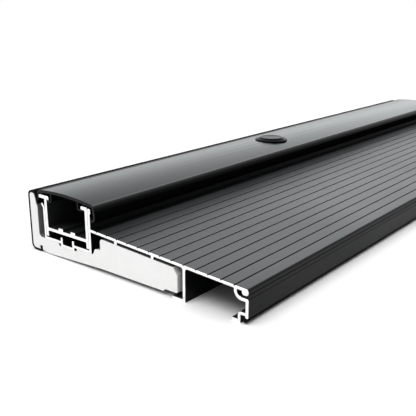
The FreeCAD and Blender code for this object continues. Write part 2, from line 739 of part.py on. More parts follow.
def make_adjusting_screw():
    """Grub screw with a guided foot on the tray's strip and a hex socket in its top."""
    top = STRIP_TOP + SCREW_LENGTH
    foot_radius = GUIDE_GAP / 2 - SCREW_FOOT_CLEARANCE
    shank_start = STRIP_TOP + SCREW_FOOT_THICK
    screw = turned(
        [
            (0, STRIP_TOP),
            (foot_radius, STRIP_TOP),
            (foot_radius, shank_start),
            (SCREW_RADIUS, shank_start),
            (SCREW_RADIUS, top - SCREW_CHAMFER),
            (SCREW_RADIUS - SCREW_CHAMFER, top),
            (0, top),
        ]
    )
    corner_radius = HEX_ACROSS_FLATS / math.sqrt(3)
    corners = []
    for number in range(7):
        angle = math.radians(60 * number)
        corner = on_axis(corner_radius * math.cos(angle), top - HEX_DEEP)
        corners.append(corner + FreeCAD.Vector(0, corner_radius * math.sin(angle), 0))
    socket = Part.Face(Part.makePolygon(corners)).extrude(FreeCAD.Vector(0, 0, HEX_DEEP))
    return screw.cut(socket)


def make_screw_insert():
    """Threaded insert through the web, with the flange under it that carries the rail."""
    bore = SCREW_RADIUS + SCREW_CLEARANCE
    flange_radius = INSERT_RADIUS + INSERT_FLANGE
    return turned(
        [
            (bore, WEB_BOTTOM - INSERT_FLANGE_THICK),
            (flange_radius, WEB_BOTTOM - INSERT_FLANGE_THICK),
            (flange_radius, WEB_BOTTOM),
            (INSERT_RADIUS, WEB_BOTTOM),
            (INSERT_RADIUS, RIDGE_TOP + INSERT_RIM_RISE),
            (bore, RIDGE_TOP + INSERT_RIM_RISE),
        ]
    )


def make_bottom_seal():
    """Strip with a stem in the slot behind the fascia and a bulb under the fascia's edge."""
    stem_back = KERF_BACK + SEAL_CLEARANCE
    stem_front = FASCIA_BACK - SEAL_CLEARANCE
    bulb_across = FASCIA_BACK + SEAL_BULB_RADIUS - SEAL_BULB_LAP
    bulb_up = SEAL_LIFT + SEAL_BULB_RADIUS
    stem_bottom = bulb_up - SEAL_BULB_RADIUS / 2
    stem = rib(stem_back, stem_front, stem_bottom, KERF_ROOF, SEAL_STEM_ROUND)
    return extrude([stem, disc(bulb_across, bulb_up, SEAL_BULB_RADIUS)])


def make_nosing_strip():
    """Strip in the slot's mouth: its head lies flush, and its bulb snaps in behind the bead."""
    floor = NOSE_SLOT_FLOOR + STRIP_CLEARANCE
    roof = NOSE_BEAD_BOTTOM - STRIP_CLEARANCE
    head_back = NOSE_FRONT - STRIP_HEAD
    corner_across = DEPTH - FASCIA_CORNER
    corner_up = NOSE_SLOT_FLOOR - FASCIA_CORNER
    bulb_across = NOSE_BEAD_BACK + STRIP_BULB_IN
    areas = [
        block(head_back, NOSE_FRONT, floor, NOSE_BEAD_BOTTOM + STRIP_LIP_UP),
        block(corner_across, NOSE_FRONT, NOSE_SLOT_FLOOR - STRIP_LIP_DOWN, floor + OVERLAP),
        block(bulb_across, head_back + OVERLAP, floor, roof),
        disc(bulb_across, floor + STRIP_BULB_RADIUS, STRIP_BULB_RADIUS),
    ]
    bead_up = NOSE_BEAD_BOTTOM + NOSE_BEAD_ROUND
    rounds = [
        disc(NOSE_FRONT - NOSE_BEAD_ROUND, bead_up, NOSE_BEAD_ROUND + STRIP_CLEARANCE),
        disc(NOSE_BEAD_BACK + NOSE_BEAD_ROUND, bead_up, NOSE_BEAD_ROUND + STRIP_CLEARANCE),
        disc(corner_across, corner_up, FASCIA_CORNER + STRIP_CLEARANCE),
    ]
    return extrude(areas, rounds)


def main():
    """Build every piece and write one file for each."""
    pieces = {
        "substrate": make_substrate(),
        "inner_cover": make_inner_cover(),
        "sill_deck": make_sill_deck(),
        "riser_rail": make_riser_rail(),
        "cap_cover": make_cap_cover(),
        "adjuster_plug": make_adjuster_plug(),
        "adjusting_screw": make_adjusting_screw(),
        "screw_insert": make_screw_insert(),
        "bottom_seal": make_bottom_seal(),
        "nosing_strip": make_nosing_strip(),
    }
    os.makedirs("parts", exist_ok=True)
    for name, shape in pieces.items():
        shape.exportStep("parts/" + name + ".step")
        print(name, len(shape.Solids), round(shape.Volume, 1), shape.isValid())


main()
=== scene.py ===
"""Adjustable door threshold, dressed for rendering.

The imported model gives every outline: each extruded piece is drawn again from the cut end of its
CAD node, with finer curves and a broken edge at both saw cuts. Everything is in metres, with +X
along the doorway, +Y to the room side and +Z up.
"""

import json
import math

import bmesh
import bpy
from bpy.props import FloatProperty, FloatVectorProperty, IntProperty, PointerProperty
from mathutils import Euler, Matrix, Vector

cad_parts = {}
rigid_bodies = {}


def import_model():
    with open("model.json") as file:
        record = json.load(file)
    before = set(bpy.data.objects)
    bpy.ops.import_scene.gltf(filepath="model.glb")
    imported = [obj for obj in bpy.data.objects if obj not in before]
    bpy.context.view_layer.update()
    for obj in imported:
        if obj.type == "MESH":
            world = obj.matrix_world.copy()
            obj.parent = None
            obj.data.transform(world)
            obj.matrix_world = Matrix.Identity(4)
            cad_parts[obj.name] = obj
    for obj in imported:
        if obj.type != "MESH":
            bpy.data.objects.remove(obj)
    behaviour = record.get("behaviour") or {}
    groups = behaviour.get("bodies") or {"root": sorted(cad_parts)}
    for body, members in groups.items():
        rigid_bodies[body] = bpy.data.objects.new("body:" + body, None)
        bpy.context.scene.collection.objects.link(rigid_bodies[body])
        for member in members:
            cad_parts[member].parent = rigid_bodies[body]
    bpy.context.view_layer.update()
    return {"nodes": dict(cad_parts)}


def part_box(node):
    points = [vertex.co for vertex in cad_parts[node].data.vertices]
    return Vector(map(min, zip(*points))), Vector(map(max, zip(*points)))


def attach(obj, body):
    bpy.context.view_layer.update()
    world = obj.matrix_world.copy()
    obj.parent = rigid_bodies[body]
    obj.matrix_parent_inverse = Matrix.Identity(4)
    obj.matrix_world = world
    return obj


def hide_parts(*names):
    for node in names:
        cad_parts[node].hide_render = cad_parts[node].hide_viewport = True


bl_info = {
    "name": "Adjustable Door Threshold",
    "version": (1, 0, 0),
    "blender": (4, 5, 0),
    "location": "3D View > Sidebar > Threshold",
    "description": "Builds the pieces of an adjustable door threshold round its packed frame",
    "category": "Object",
}

for leftover in list(bpy.data.objects):
    bpy.data.objects.remove(leftover)

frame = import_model()

# In a metre
MILLIMETRES = 1000.0
MICROMETRES = 1000000.0
# Places closer than this are one place, in metres
SAME_PLACE = 1e-6
# Edges that turn by more than this are shaded sharp
SHARP_ANGLE = math.radians(32)
# Neighbouring chords lie on one arc where the turn between them lies between these angles
LEAST_ARC_TURN = math.radians(0.2)
MOST_ARC_TURN = math.radians(40)
# Their lengths then differ by less than this share
ARC_LENGTH_SPREAD = 0.03
# Least share that divides an inset, reached where an outline turns by 120 degrees
LEAST_MITRE_SHARE = 0.5
# Material slots of a sawn length: long faces, sawn ends, and long faces that carry painted light or
# painted shade
LONG, SAWN, PAINTED_LIGHT = range(3)
# How far a cutter stands out past what it cuts
CUT_THROUGH = 0.002
# Largest angle between neighbouring points on the small roundings of a turned piece
ROUNDING_STEP = math.radians(10)
# Least upward share of the normal of a face that is walked on, and so gets the lighter copy of the coating
# as painted light
LIT_TOP_UPWARD = 0.9
# The part of noise's range that most of its values fill
NOISE_SPREAD = (0.3, 0.7)
# Specular levels of the cap's plastic and of the matt black plastics, the second also dulling the cap's
# back band as painted shade
CAP_SHEEN = 0.022
MATT_SHEEN = 0.003
# Painted sheen down the cap's front rounding, a painted highlight that fades into painted shade, as (share
# of the fade's height, specular level)
SHOULDER_PAINTED_SHEEN = ((0.1, 0.34), (0.3, 0.16), (0.5, 0.045), (1.0, 0.0))
# Points along the screw in one turn of its thread
THREAD_STEPS = 10
# Slope of the thread's flanks in depths to half a turn, and the share that the flat crest takes off
THREAD_SLOPE = 1.25
THREAD_CREST = 0.15
# Directions that the wide lights come from, and how wide they are
TOP_LIGHT_FROM = (0.0, 0.06, 1.0)
TOP_LIGHT_SPREAD = math.radians(80.0)
FRONT_LIGHT_FROM = (-1.0, 0.1, 2.0)
FRONT_LIGHT_SPREAD = math.radians(40.0)
# Place and side of the square key light
KEY_LIGHT_PLACE = (1.5, 1.2, 1.3)
KEY_LIGHT_SIDE = 2.4
# Camera's sensor in millimetres, and its nearest and furthest view in metres
SENSOR_WIDTH = 36.0
CAMERA_RANGE = (0.01, 50.0)


def length_property(name, description, default):
    """A length in metres that shows in the sidebar in the scene's units."""
    return FloatProperty(
        name=name,
        description=description,
        default=default,
        min=0.0,
        precision=5,
        unit="LENGTH",
        subtype="DISTANCE",
    )


def colour_property(name, description, default):
    """A linear colour without alpha."""
    return FloatVectorProperty(
        name=name, description=description, default=default, min=0.0, max=1.0, size=3, subtype="COLOR"
    )


def level_property(name, description, default):
    """A level of light, where 1 lights a white surface to white."""
    return FloatProperty(name=name, description=description, default=default, min=0.0)


class ThresholdSizes(bpy.types.PropertyGroup):
    """Sizes that dress the plain extrusions and turned pieces."""

    edge_break: length_property(
        "Edge break", "Chamfer that deburring leaves round the sawn metal ends", 0.00012
    )
    plastic_edge_break: length_property(
        "Plastic edge break", "Chamfer round the sawn plastic ends", 0.0001
    )
    cap_edge_break: length_property(
        "Cap edge break", "Dark rounded edge round the sawn ends of the cap", 0.00018
    )
    # The matt band at the back of the cap is painted shade: its sheen is taken away
    cap_shade_band: length_property(
        "Cap back band", "Width of the matt band along the back of the cap", 0.0046
    )
    cap_shade_band_blend: length_property(
        "Cap band blend", "Width over which the matt band takes over", 0.0004
    )
    # The front rounding carries a painted sheen: a painted highlight below the crown that fades into
    # painted shade down the lip
    cap_sheen_band: length_property(
        "Cap front band", "Width of the rounding along the front of the cap", 0.0024
    )
    cap_front_drop: length_property(
        "Cap front drop", "How far below the crown the front rounding starts", 0.0016
    )
    cap_sheen_fade: length_property("Cap fade", "Height over which the sheen fades out down the front", 0.004)
    strip_edge_break: length_property(
        "Strip edge break", "Chamfer round the cut ends of the thin nosing strip", 0.00004
    )
    block_edge_break: length_property(
        "Block edge break", "Chamfer round the sawn ends of the foamed block", 0.00025
    )
    # The nose that this reaches over gets a pale copy of the block's skin, as painted light
    lit_nose_reach: length_property("Block nose reach", "Length of the block's pale nose", 0.004)
    curve_step: FloatProperty(
        name="Curve step",
        description="Largest angle between neighbouring points on a curve of a section",
        default=math.radians(5.0),
        min=math.radians(1.0),
        subtype="ANGLE",
    )
    plug_top_radius: length_property("Plug top radius", "Radius of the plug's flat top", 0.0076)
    plug_rim: length_property("Plug rim", "Height of the plug's upright rim over the cap", 0.0006)
    plug_neck: length_property("Plug neck", "Width of the steep band round the plug's flat top", 0.0014)
    plug_flare: length_property("Plug flare", "Height of the flare over the plug's rim", 0.0006)
    plug_sink: length_property("Plug sink", "How far the plug's top is pressed into its snap", 0.0011)
    plug_round: length_property("Plug rounding", "Rounding of the plug's edges", 0.0004)
    plug_ring: length_property("Plug ring", "Width of the level ring round the plug's dish", 0.0012)
    plug_dish_slope: length_property("Plug dish slope", "Width of the slope into the dish", 0.0006)
    plug_dish: length_property("Plug dish", "Depth of the shallow dish in the plug's top", 0.0001)
    plug_stem_radius: length_property("Plug stem radius", "Radius of the snap stem", 0.0084)
    plug_wall: length_property("Plug wall", "Wall of the snap stem", 0.0014)
    plug_wall_round: length_property("Plug inner rounding", "Rounding inside the stem", 0.0003)
    plug_clearance: length_property("Plug clearance", "Room round the stem in the cap's hole", 0.0001)
    plug_grip: length_property("Plug grip", "Distance from the seat down to the snap bead", 0.0019)
    plug_snap: length_property("Plug snap", "How far the snap bead stands out", 0.0005)
    plug_bead_slope: length_property("Plug bead slope", "Height of the snap bead's upper slope", 0.0003)
    plug_bead: length_property("Plug bead", "Height of the snap bead", 0.0005)
    plug_bead_round: length_property("Plug bead rounding", "Rounding of the snap bead", 0.0001)
    plug_slit: length_property("Plug slit", "Width of the slits in the snap stem", 0.0016)
    screw_foot: length_property("Screw foot", "Thickness of the screw's foot", 0.0012)
    screw_chamfer: length_property("Screw chamfer", "Chamfer round the screw's foot", 0.0002)
    screw_around: IntProperty(
        name="Screw points around", description="Points round the screw", default=72, min=24
    )
    thread_radius: length_property("Thread radius", "Outside radius of the screw's thread", 0.003)
    thread_pitch: length_property("Thread pitch", "Rise of the thread in one turn", 0.00125)
    thread_depth: length_property("Thread depth", "Depth of the thread", 0.00045)
    thread_end: length_property("Thread end", "Plain end above the thread", 0.0005)
    tip_relief: length_property("Tip relief", "How far the tip lies inside the thread's root", 0.0001)
    hex_across_flats: length_property("Hex socket", "Hex socket across its flats", 0.003)
    hex_depth: length_property("Hex depth", "Depth of the hex socket", 0.004)
    hex_chamfer: length_property("Hex chamfer", "Chamfer round the mouth of the hex socket", 0.0001)
    hex_cone: length_property("Hex cone", "Depth of the drilled cone under the hex socket", 0.0006)
    insert_bore: length_property("Insert bore", "Radius of the insert's bore", 0.00305)
    insert_barrel: length_property("Insert barrel", "Radius of the insert's barrel", 0.0044)
    insert_flange: length_property("Insert flange", "Thickness of the insert's flange", 0.0008)
    insert_clearance: length_property("Insert clearance", "Room round the barrel in the rail", 0.00005)
    insert_chamfer: length_property("Insert chamfer", "Chamfer of the bore and the flange", 0.0002)
    flange_round: length_property("Flange rounding", "Rounding under the insert's flange", 0.00025)
    barrel_round: length_property("Barrel rounding", "Rounding round the barrel's end", 0.0003)
    around: IntProperty(
        name="Points around", description="Points round each turned piece", default=96, min=24
    )


class ThresholdColours(bpy.types.PropertyGroup):
    """Colours of the finishes."""

    coating: colour_property("Coating", "Anthracite coating of the sill deck", (0.002, 0.0024, 0.0026))
    # The tread colour is a lighter copy of the coating, painted light on the walked-on top
    lit_tread: colour_property("Tread", "Coating on the walked-on top", (0.022, 0.0238, 0.0252))
    rail: colour_property("Rail coating", "Dark coating of the rail", (0.014, 0.0147, 0.015))
    cut_metal: colour_property("Cut metal", "Bare aluminium of the sawn ends", (0.93, 0.93, 0.93))
    cap: colour_property("Cap", "Black plastic of the cap", (0.002, 0.0022, 0.0023))
    cut_cap: colour_property("Cut cap", "Sawn end of the cap", (0.012, 0.0125, 0.013))
    cover: colour_property("Cover", "Black skin round the block", (0.002, 0.002, 0.0021))
    # The block's skin is painted dark as painted shade for the narrow gutters; its nose is a pale copy of
    # the same skin, as painted light
    block: colour_property("Block", "Skin of the foamed block", (0.17, 0.173, 0.17))
    lit_block_nose: colour_property("Block nose", "Skin of the block's nose", (0.74, 0.735, 0.71))
    cut_block: colour_property("Cut block", "Sawn end of the foamed block", (0.86, 0.86, 0.855))
    plug: colour_property("Plug", "Black plastic of the plug", (0.002, 0.0022, 0.0023))
    steel: colour_property("Steel", "Turned steel of the screw", (0.55, 0.55, 0.56))
    brass: colour_property("Brass", "Turned brass of the insert", (0.73, 0.54, 0.25))
    rubber: colour_property("Rubber", "Black rubber of the seal", (0.004, 0.004, 0.004))
    strip: colour_property("Strip", "Dark plastic of the nosing strip", (0.002, 0.0024, 0.0026))


class ThresholdStage(bpy.types.PropertyGroup):
    """Floor, light and camera."""

    floor_reach: length_property("Floor reach", "Half the width of the floor", 80.0)
    floor_colour: colour_property("Floor", "Colour of the floor", (1.0, 1.0, 1.0))
    sky_level: level_property("Sky level", "Level of the white surroundings on the object", 0.42)
    top_level: level_property("Top light", "Level of the wide light overhead, on a facing surface", 0.38)
    front_level: level_property(
        "Front light", "Level of the wide light from the cut end, on a facing surface", 0.4
    )
    key_power: FloatProperty(
        name="Key light",
        description="Power of the light behind the threshold",
        default=44.0,
        min=0.0,
        unit="POWER",
    )
    key_colour: colour_property("Key light colour", "Colour of the key light", (0.93, 0.985, 1.0))
    camera_place: FloatVectorProperty(
        name="Camera place",
        description="Place of the camera",
        default=(-0.42078, -0.20905, 0.12325),
        subtype="TRANSLATION",
        unit="LENGTH",
    )
    camera_heading: FloatProperty(
        name="Camera heading",
        description="Turn of the camera from looking along +Y",
        default=math.radians(-50.98),
        subtype="ANGLE",
    )
    camera_pitch: FloatProperty(
        name="Camera pitch",
        description="How far the camera looks down",
        default=math.radians(17.034),
        subtype="ANGLE",
    )
    lens: FloatProperty(
        name="Lens", description="Focal length on a 36 mm sensor, in millimetres", default=56.27, min=1.0
    )


def sizes():
    """The sizes that the sidebar shows."""
    return bpy.context.scene.threshold_sizes


def colours():
    """The colours that the sidebar shows."""
    return bpy.context.scene.threshold_colours


# Sections read from the cut ends


def signed_area(loop):
    """Area inside an outline, positive when it runs anticlockwise seen from +X."""
    total = 0.0
    for index, (y, z) in enumerate(loop):
        next_y, next_z = loop[(index + 1) % len(loop)]
        total += y * next_z - next_y * z
    return total / 2


def cut_section(node):
    """Outlines of a CAD node's cut end as (y, z) points, the outer one first."""
    mesh = bmesh.new()
    mesh.from_mesh(frame["nodes"][node].data)
    bmesh.ops.remove_doubles(mesh, verts=mesh.verts, dist=SAME_PLACE)
    near = min(vert.co.x for vert in mesh.verts) + SAME_PLACE
    end = {face for face in mesh.faces if all(vert.co.x < near for vert in face.verts)}
    rim = [edge for edge in mesh.edges if sum(face in end for face in edge.link_faces) == 1]
    neighbours = {}
    for edge in rim:
        first, second = edge.verts
        neighbours.setdefault(first, []).append(second)
        neighbours.setdefault(second, []).append(first)
    loops = []
    waiting = dict.fromkeys(neighbours)
    while waiting:
        start = next(iter(waiting))
        del waiting[start]
        chain = [start]
        previous, current = start, neighbours[start][0]
        while current is not start:
            chain.append(current)
            del waiting[current]
            one, other = neighbours[current]
            previous, current = current, other if one is previous else one
        loops.append([(vert.co.y, vert.co.z) for vert in chain])
    mesh.free()
    if not loops:
        raise RuntimeError("no cut end was found on " + node)
    loops.sort(key=lambda loop: -abs(signed_area(loop)))
    for index, loop in enumerate(loops):
        if (signed_area(loop) > 0) != (index == 0):
            loop.reverse()
    return loops


def turning(before, corner, after):
    """Signed change of direction at a corner of an outline."""
    one = Vector(corner) - Vector(before)
    two = Vector(after) - Vector(corner)
    return math.atan2(one.x * two.y - one.y * two.x, one.dot(two))


def curved_chords(loop):
    """Turning of each chord that lies on an arc, or nothing for a straight one."""
    count = len(loop)
    lengths = [math.dist(loop[index], loop[(index + 1) % count]) for index in range(count)]
    turns = [turning(loop[index - 1], loop[index], loop[(index + 1) % count]) for index in range(count)]
    chords = [None] * count
    for index in range(count):
        for corner, other in ((index, index - 1), ((index + 1) % count, (index + 1) % count)):
            alike = abs(lengths[index] - lengths[other]) < ARC_LENGTH_SPREAD * lengths[index]
            if alike and LEAST_ARC_TURN < abs(turns[corner]) < MOST_ARC_TURN:
                chords[index] = turns[corner]
    return chords


def arc_centre(start, end, turn):
    """Centre of the arc that turns from one point to another, and its radius, signed as the turn is."""
    chord = Vector(end) - Vector(start)
    radius = chord.length / (2 * math.sin(turn / 2))
    side = Vector((-chord.y, chord.x)).normalized()
    return (Vector(start) + Vector(end)) / 2 + side * radius * math.cos(turn / 2), radius


def arc_point(centre, spoke, angle):
    """End of a spoke that has turned about a centre by an angle."""
    return (
        centre.x + spoke.x * math.cos(angle) - spoke.y * math.sin(angle),
        centre.y + spoke.x * math.sin(angle) + spoke.y * math.cos(angle),
    )


def finer_curves(loop, step):
    """The same outline, with its arcs divided until no chord turns more than a step."""
    finer = []
    chords = curved_chords(loop)
    for index, start in enumerate(loop):
        finer.append(start)
        turn = chords[index]
        if turn is None:
            continue
        parts = math.ceil(abs(turn) / step)
        centre = arc_centre(start, loop[(index + 1) % len(loop)], turn)[0]
        spoke = Vector(start) - centre
        finer += [arc_point(centre, spoke, turn * part / parts) for part in range(1, parts)]
    return finer


def widest_arc(loop):
    """Centre and radius of the flattest arc in an outline."""
    arcs = []
    for index, turn in enumerate(curved_chords(loop)):
        if turn is not None:
            arcs.append(arc_centre(loop[index], loop[(index + 1) % len(loop)], turn))
    centre, radius = max(arcs, key=lambda arc: abs(arc[1]))
    return centre, abs(radius)


def inset_loop(loop, distance):
    """The outline moved into the material by a distance."""
    if distance == 0:
        return list(loop)
    moved = []
    count = len(loop)
    for index, corner in enumerate(loop):
        arriving = (Vector(corner) - Vector(loop[index - 1])).normalized()
        leaving = (Vector(loop[(index + 1) % count]) - Vector(corner)).normalized()
        inwards = Vector((-arriving.y - leaving.y, arriving.x + leaving.x))
        share = max(1 + arriving.dot(leaving), LEAST_MITRE_SHARE)
        moved.append((corner[0] + inwards.x * distance / share, corner[1] + inwards.y * distance / share))
    return moved


# Meshes


def new_object(name, data):
    """Object in the scene that holds a mesh, a lamp or a camera."""
    item = bpy.data.objects.new(name, data)
    bpy.context.scene.collection.objects.link(item)
    return item


def mesh_object(name, mesh):
    """Object in the scene that takes over a bmesh."""
    data = bpy.data.meshes.new(name)
    mesh.to_mesh(data)
    mesh.free()
    return new_object(name, data)


def finished_object(name, mesh, body, materials):
    """Object from a bmesh, with its materials and material slot, riding on a body."""
    piece = mesh_object(name, mesh)
    for material in materials:
        piece.data.materials.append(material)
    piece.data.set_sharp_from_angle(angle=SHARP_ANGLE)
    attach(piece, body)
    return piece


def ring_faces(mesh, one, two):
    """Smooth faces between two rings of vertices, where a ring of one vertex closes to a point."""
    faces = []
    for index in range(max(len(one), len(two))):
        after = index + 1
        corners = [
            one[index % len(one)],
            one[after % len(one)],
            two[after % len(two)],
            two[index % len(two)],
        ]
        face = mesh.faces.new(list(dict.fromkeys(corners)))
        face.smooth = True
        faces.append(face)
    return faces


def sawn_length(node, edge_break, edge_slot=SAWN):
    """Closed mesh of a node's section from saw cut to saw cut, with edge_slot on the broken edges."""
    low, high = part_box(node)
    loops = [finer_curves(loop, sizes().curve_step) for loop in cut_section(node)]
    stations = (
        (low.x, edge_break),
        (low.x + edge_break, 0.0),
        (high.x - edge_break, 0.0),
        (high.x, edge_break),
    )
    mesh = bmesh.new()
    ends = ([], [])
    for loop in loops:
        rings = []
        for x, inset in stations:
            rings.append([mesh.verts.new((x, y, z)) for y, z in inset_loop(loop, inset)])
        for one, two, slot in zip(rings, rings[1:], (edge_slot, LONG, edge_slot)):
            for face in ring_faces(mesh, one, two):
                face.material_index = slot
        for end, ring in zip(ends, (rings[0], rings[-1])):
            end.append(ring)
    # The ends are filled in millimetres, where the fill's own tolerances are small beside the walls
    bmesh.ops.scale(mesh, vec=(MILLIMETRES,) * 3, verts=mesh.verts)
    for end in ends:
        if len(end) == 1:
            face = mesh.faces.new(end[0])
            face.normal_update()
            filled = bmesh.ops.triangulate(mesh, faces=[face], ngon_method="EAR_CLIP")["faces"]
        else:
            edges = []
            for ring in end:
                edges += [mesh.edges.get((ring[i - 1], ring[i])) for i in range(len(ring))]
            filled = bmesh.ops.triangle_fill(mesh, use_beauty=True, edges=edges)["geom"]
        for face in filled:
            if isinstance(face, bmesh.types.BMFace):
                face.material_index = SAWN
                face.smooth = False
    bmesh.ops.recalc_face_normals(mesh, faces=mesh.faces)
    bmesh.ops.scale(mesh, vec=(1 / MILLIMETRES,) * 3, verts=mesh.verts)
    return mesh


def cut_away(piece, cutter):
    """Takes a cutter's shape out of a piece and removes the cutter."""
    modifier = piece.modifiers.new("Cut", "BOOLEAN")
    modifier.operation = "DIFFERENCE"
    modifier.solver = "EXACT"
    modifier.object = cutter
    bpy.context.view_layer.update()
    cut = bpy.data.meshes.new_from_object(piece.evaluated_get(bpy.context.evaluated_depsgraph_get()))
    old = piece.data
    piece.modifiers.remove(modifier)
    piece.data = cut
    bpy.data.meshes.remove(old)
    cut.name = piece.name
    bpy.data.objects.remove(cutter)
    cut.set_sharp_from_angle(angle=SHARP_ANGLE)


def prism(points, low, high):
    """Temporary closed prism over an outline of (x, y) points."""
    mesh = bmesh.new()
    bottom = [mesh.verts.new((x, y, low)) for x, y in points]
    top = [mesh.verts.new((x, y, high)) for x, y in points]
    ring_faces(mesh, bottom, top)
    mesh.faces.new(bottom)
    mesh.faces.new(top)
    bmesh.ops.recalc_face_normals(mesh, faces=mesh.faces)
    return mesh_object("cutter", mesh)


def circle_points(centre, radius, count):
    """Points round a circle, as (x, y)."""
    return [
        (
            centre.x + radius * math.cos(2 * math.pi * index / count),
            centre.y + radius * math.sin(2 * math.pi * index / count),
        )
        for index in range(count)
    ]


def rounded(corners):
    """Open line of (radius, height) points; a corner with a third number is rounded by it."""
    line = []
    for index, corner in enumerate(corners):
        if len(corner) == 2:
            line.append(corner)
            continue
        spot = Vector(corner[:2])
        back = (Vector(corners[index - 1][:2]) - spot).normalized()
        on = (Vector(corners[index + 1][:2]) - spot).normalized()
        half = back.angle(on) / 2
        centre = spot + (back + on).normalized() * corner[2] / math.sin(half)
        start = spot + back * corner[2] / math.tan(half) - centre
        end = spot + on * corner[2] / math.tan(half) - centre
        sweep = math.atan2(start.x * end.y - start.y * end.x, start.dot(end))
        parts = max(2, math.ceil(abs(sweep) / ROUNDING_STEP))
        line += [arc_point(centre, start, sweep * part / parts) for part in range(parts + 1)]
    return line


def turned_mesh(centre, line, count, height=None):
    """Closed mesh turned about an upright axis; height(y, z) may lift a point onto a surface."""
    mesh = bmesh.new()
    rings = []
    for radius, level in line:
        ring = []
        for x, y in circle_points(centre, radius, 1 if radius < SAME_PLACE else count):
            z = level if height is None else height(y, level)
            ring.append(mesh.verts.new((x, y, z)))
        rings.append(ring)
    pairs = list(zip(rings, rings[1:]))
    if len(rings[0]) > 1 and len(rings[-1]) > 1:
        pairs.append((rings[-1], rings[0]))
    for one, two in pairs:
        ring_faces(mesh, one, two)
    bmesh.ops.recalc_face_normals(mesh, faces=mesh.faces)
    return mesh


# Finishes


class Finish:
    """A material under construction, with its shader and a few ways to add nodes."""

    def __init__(self, name, colour, roughness, metallic=0.0, gloss=0.5):
        self.material = bpy.data.materials.new(name)
        self.material.use_nodes = True
        self.nodes = self.material.node_tree.nodes
        self.links = self.material.node_tree.links
        self.shader = self.nodes["Principled BSDF"]
        self.shader.inputs["Base Color"].default_value = (*colour, 1.0)
        self.shader.inputs["Roughness"].default_value = roughness
        self.shader.inputs["Metallic"].default_value = metallic
        self.shader.inputs["Specular IOR Level"].default_value = gloss
        self.place = self.nodes.new("ShaderNodeTexCoord").outputs["Object"]

    def stretched(self, scale):
        """Object coordinates scaled differently along each axis."""
        mapping = self.nodes.new("ShaderNodeMapping")
        mapping.inputs["Scale"].default_value = scale
        self.links.new(self.place, mapping.inputs["Vector"])
        return mapping.outputs["Vector"]

    def along(self, axis):
        """Object coordinate along one axis, in metres."""
        parts = self.nodes.new("ShaderNodeSeparateXYZ")
        self.links.new(self.place, parts.inputs["Vector"])
        return parts.outputs[axis]

    def noise(self, scale, detail=3.0, vector=None):
        """Noise from 0 to 1, so many features to a metre."""
        noise = self.nodes.new("ShaderNodeTexNoise")
        noise.inputs["Scale"].default_value = scale
        noise.inputs["Detail"].default_value = detail
        self.links.new(vector or self.place, noise.inputs["Vector"])
        return noise.outputs["Fac"]

    def cells(self, scale):
        """Distance from the middle of closed cells, so many to a metre."""
        cells = self.nodes.new("ShaderNodeTexVoronoi")
        cells.inputs["Scale"].default_value = scale
        self.links.new(self.place, cells.inputs["Vector"])
        return cells.outputs["Distance"]

    def between(self, value, low, high, spread=NOISE_SPREAD):
        """A value mapped from its spread to run from low to high."""
        mapped = self.nodes.new("ShaderNodeMapRange")
        mapped.inputs["From Min"].default_value, mapped.inputs["From Max"].default_value = spread
        mapped.inputs["To Min"].default_value = low
        mapped.inputs["To Max"].default_value = high
        self.links.new(value, mapped.inputs["Value"])
        return mapped.outputs["Result"]

    def tint(self, noise, low, high):
        """Base colour that runs between two colours with a noise."""
        ramp = self.nodes.new("ShaderNodeValToRGB")
        for stop, place, colour in zip(ramp.color_ramp.elements, NOISE_SPREAD, (low, high)):
            stop.position = place
            stop.color = (*colour, 1.0)
        self.links.new(noise, ramp.inputs["Fac"])
        self.links.new(ramp.outputs["Color"], self.shader.inputs["Base Color"])

    def roughen(self, noise, low, high):
        """Roughness that runs between two levels with a noise."""
        self.links.new(self.between(noise, low, high), self.shader.inputs["Roughness"])

    def relief(self, *layers):
        """Bumps in layers of (height from 0 to 1, depth in micrometres)."""
        normal = None
        for value, depth in layers:
            bump = self.nodes.new("ShaderNodeBump")
            bump.inputs["Strength"].default_value = 1.0
            bump.inputs["Distance"].default_value = depth / MICROMETRES
            self.links.new(value, bump.inputs["Height"])
            if normal is not None:
                self.links.new(normal, bump.inputs["Normal"])
            normal = bump.outputs["Normal"]
        self.links.new(normal, self.shader.inputs["Normal"])


def shaded(colour, factor):
    """A colour made lighter or darker."""
    return tuple(min(1.0, part * factor) for part in colour)


def coated_aluminium(name, colour, roughness, gloss):
    """Satin coating with a fine grain and faint draw lines along the extrusion."""
    finish = Finish(name, colour, roughness, gloss=gloss)
    grain = finish.noise(2600.0, detail=2.0)
    lines = finish.noise(1.0, detail=2.0, vector=finish.stretched((3.0, 900.0, 900.0)))
    patches = finish.noise(14.0, detail=4.0)
    finish.tint(patches, shaded(colour, 0.86), shaded(colour, 1.14))
    finish.roughen(patches, roughness - 0.03, roughness + 0.03)
    finish.relief((grain, 12), (lines, 4))
    return finish.material


def bare_aluminium(colour):
    """Freshly sawn aluminium, bright, with fine saw lines."""
    finish = Finish("Sawn aluminium", colour, roughness=0.42, metallic=1.0)
    lines = finish.noise(1.0, detail=3.0, vector=finish.stretched((1.0, 500.0, 9000.0)))
    finish.tint(lines, shaded(colour, 0.9), shaded(colour, 1.04))
    finish.roughen(lines, 0.36, 0.5)
    finish.relief((lines, 10))
    return finish.material


def arched_plastic_with_shade_band(colour, back, blend):
    """Smooth black plastic of the cap, with a faint ripple and a matt band of painted shade behind a place
    across it.
    """
    finish = Finish("Cap plastic", colour, roughness=0.2)
    # Painted shade: the sheen drops to matt behind the band's start
    sheen = finish.between(finish.along("Y"), CAP_SHEEN, MATT_SHEEN, (back, back + blend))
    finish.links.new(sheen, finish.shader.inputs["Specular IOR Level"])
    ripple = finish.noise(1.0, detail=2.0, vector=finish.stretched((6.0, 260.0, 260.0)))
    grain = finish.noise(3200.0, detail=1.0)
    finish.roughen(ripple, 0.19, 0.21)
    finish.relief((grain, 6), (ripple, 1))
    return finish.material


